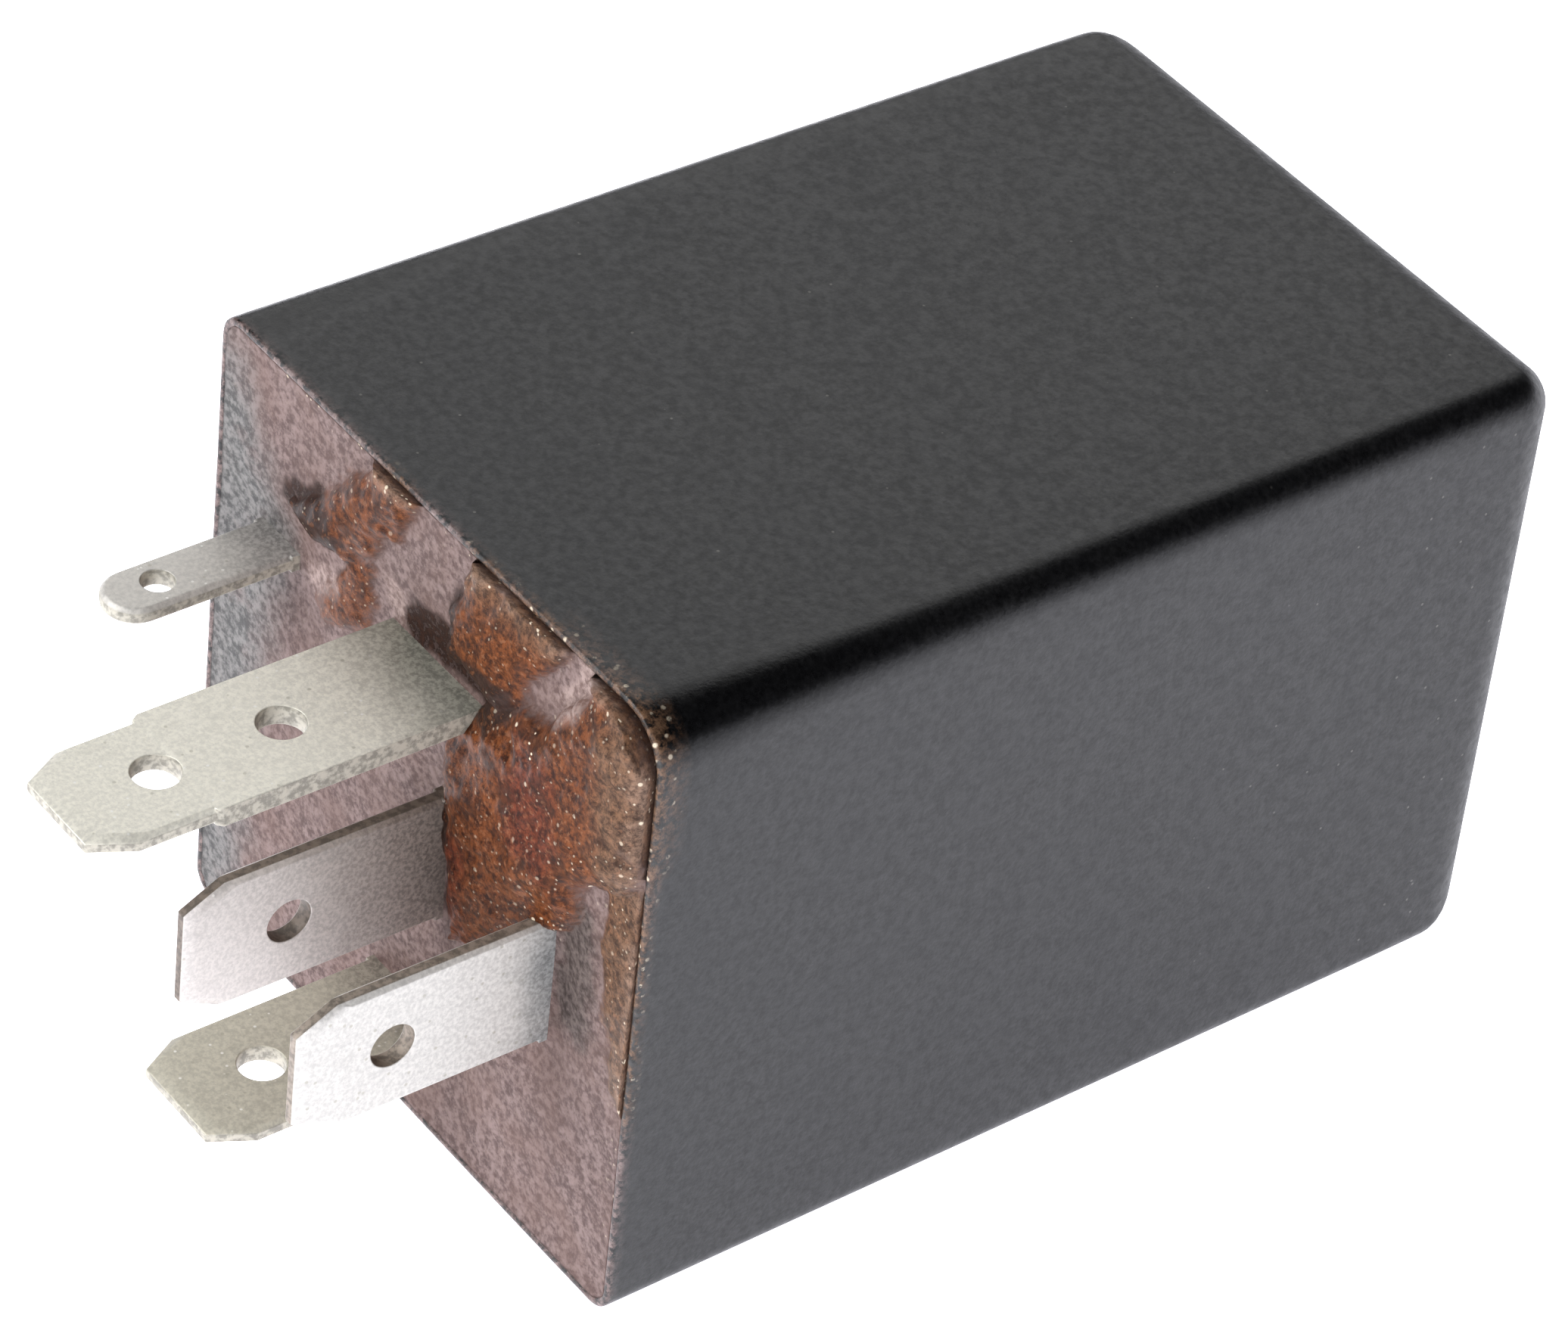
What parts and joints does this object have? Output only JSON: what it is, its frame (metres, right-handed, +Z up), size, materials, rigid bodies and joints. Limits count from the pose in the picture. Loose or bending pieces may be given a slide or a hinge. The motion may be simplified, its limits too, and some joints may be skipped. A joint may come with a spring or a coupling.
{
  "type": "plug-in relay",
  "caption": "Plug-in electrical relay: square black push-on cover, brown resin-sealed base, flat blade terminals, electromagnet with changeover contacts and timer board.",
  "frame": {"origin": "centre of the square mouth of the cover, in the plane of its rim", "axes": "+Y into the cover, away from the terminals; +Z up with the relay lying on one side, as in use of the record; +X to its right"},
  "size_m": [0.03, 0.0618, 0.03],
  "materials": {
    "cover_plastic": "fine matt texture, black",
    "sealing_resin": "poured brown resin, dull where flat and glossy where it beads",
    "base_laminate": "brown phenolic",
    "plated_steel": "zinc plated",
    "tinned_brass": "tin plated, dull, scratched by handling",
    "plated_iron": "zinc plated soft iron",
    "bobbin_plastic": "natural nylon",
    "enamelled_copper": "enamelled copper wire",
    "tinned_wire": "tinned",
    "spring_bronze": "rolled bronze strip",
    "contact_silver": "silver alloy, satin",
    "copper": "bare copper",
    "spring_steel": "drawn steel wire",
    "board_laminate": "green solder resist over glass laminate",
    "moulded_epoxy": "moulded epoxy, black",
    "capacitor_sleeve": "shrunk sleeve over an aluminium can",
    "film_case": "dipped box",
    "resistor_coating": "lacquer with colour rings",
    "diode_glass": "glass sleeve",
    "solder": "solder"
  },
  "bodies": {
    "base": {"potting_resin": "sealing_resin", "resin_beads": "sealing_resin", "base_plate": "base_laminate", "frame_screws": "plated_steel", "supply_terminal": "tinned_brass", "control_terminal": "tinned_brass", "ground_terminal": "tinned_brass", "make_terminal": "tinned_brass", "break_terminal": "tinned_brass", "yoke": "plated_iron", "core": "plated_iron", "bobbin": "bobbin_plastic", "coil_winding": "enamelled_copper", "coil_pins": "tinned_wire", "coil_leads": "enamelled_copper", "make_contact": "contact_silver", "break_contact": "contact_silver", "return_spring": "spring_steel", "supply_ferrule": "copper", "contact_braid": "copper", "circuit_board": "board_laminate", "timer_chip": "moulded_epoxy", "electrolytic_capacitor": "capacitor_sleeve", "film_capacitor": "film_case", "power_transistor": "moulded_epoxy", "resistors": "resistor_coating", "flyback_diode": "moulded_epoxy", "zener_diode": "diode_glass", "component_leads": "tinned_wire", "solder_joints": "solder"},
    "cover_shell": {"cover": "cover_plastic"},
    "armature_arm": {"armature": "plated_iron", "contact_leaf": "spring_bronze", "leaf_rivets": "plated_steel", "moving_contact": "contact_silver", "leaf_ferrule": "copper"}
  },
  "joints": [
    {"name": "cover_slide", "type": "slide", "parent": "base", "child": "cover_shell", "axis": [0, 1, 0], "range_m": [0, 0.06]},
    {"name": "armature_hinge", "type": "hinge", "parent": "base", "child": "armature_arm", "pos_m": [-0.0105, 0.02695, -0.005], "axis": [0, 0, -1], "range_deg": [0, 3.5], "deforming": ["return_spring", "contact_braid"]}
  ]
}
